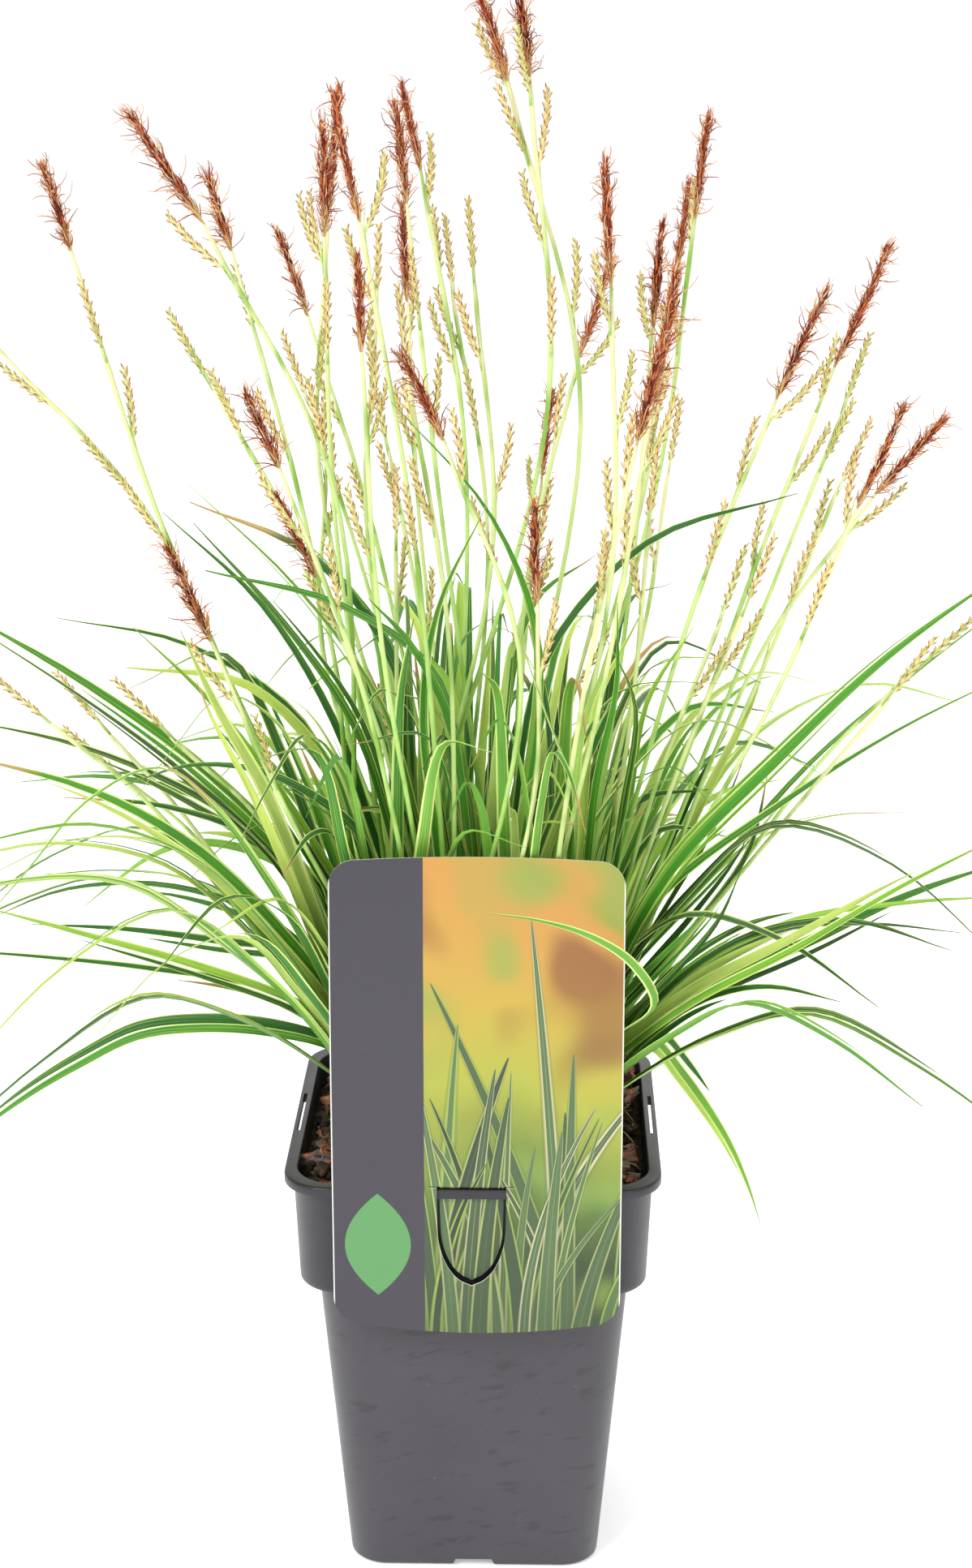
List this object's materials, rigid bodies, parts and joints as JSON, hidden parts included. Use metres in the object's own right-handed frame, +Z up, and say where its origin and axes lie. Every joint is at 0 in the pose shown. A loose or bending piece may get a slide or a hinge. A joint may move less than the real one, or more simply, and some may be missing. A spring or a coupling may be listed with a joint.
{
  "type": "potted carex sedge",
  "caption": "Clump of sedge with arching striped leaves and upright flowering stems, in a tapering square nursery pot with a card label hooked on its rim.",
  "frame": {"origin": "middle of the pot's flat underside", "axes": "+Z up along the pot's axis, -Y out of the front where the label hangs, +X to the viewer's right"},
  "size_m": [0.3359, 0.2853, 0.47],
  "materials": {
    "pot": "satin black, faintly scuffed",
    "soil": "loose dark peat with bark and fibres",
    "bark": "rough red-brown bark",
    "label": "printed card with a soft sheen",
    "leaf": "green with pale margins, slightly glossy",
    "stem": "lime green to straw, satin",
    "spike": "dry red-brown scales with pale filaments"
  },
  "bodies": {
    "root": {"pot": "pot", "soil": "soil", "label": "label", "bark_chip_1": "bark", "bark_chip_2": "bark", "bark_chip_3": "bark", "bark_chip_4": "bark", "leaf_tuft_01": "leaf", "leaf_tuft_02": "leaf", "leaf_tuft_03": "leaf", "leaf_tuft_04": "leaf", "leaf_tuft_05": "leaf", "leaf_tuft_06": "leaf", "leaf_tuft_07": "leaf", "leaf_tuft_08": "leaf", "leaf_tuft_09": "leaf", "leaf_tuft_10": "leaf", "leaf_tuft_11": "leaf", "stem_bunch_01": "stem", "stem_bunch_02": "stem", "stem_bunch_03": "stem", "stem_bunch_04": "stem", "stem_bunch_05": "stem", "stem_bunch_06": "stem", "stem_bunch_07": "stem", "stem_bunch_08": "stem", "stem_bunch_09": "stem", "stem_bunch_10": "stem", "stem_bunch_11": "stem", "male_spike_01": "spike", "male_spike_02": "spike", "male_spike_03": "spike", "male_spike_04": "spike", "male_spike_05": "spike", "male_spike_06": "spike", "male_spike_07": "spike", "male_spike_08": "spike", "male_spike_09": "spike", "male_spike_10": "spike", "male_spike_11": "spike", "male_spike_12": "spike", "male_spike_13": "spike", "male_spike_14": "spike", "male_spike_15": "spike", "male_spike_16": "spike", "male_spike_17": "spike", "male_spike_18": "spike", "male_spike_19": "spike", "male_spike_20": "spike", "male_spike_21": "spike", "male_spike_22": "spike", "male_spike_23": "spike", "male_spike_24": "spike", "male_spike_25": "spike", "male_spike_26": "spike", "male_spike_27": "spike", "male_spike_28": "spike", "male_spike_29": "spike", "male_spike_30": "spike", "male_spike_31": "spike"}
  },
  "joints": []
}
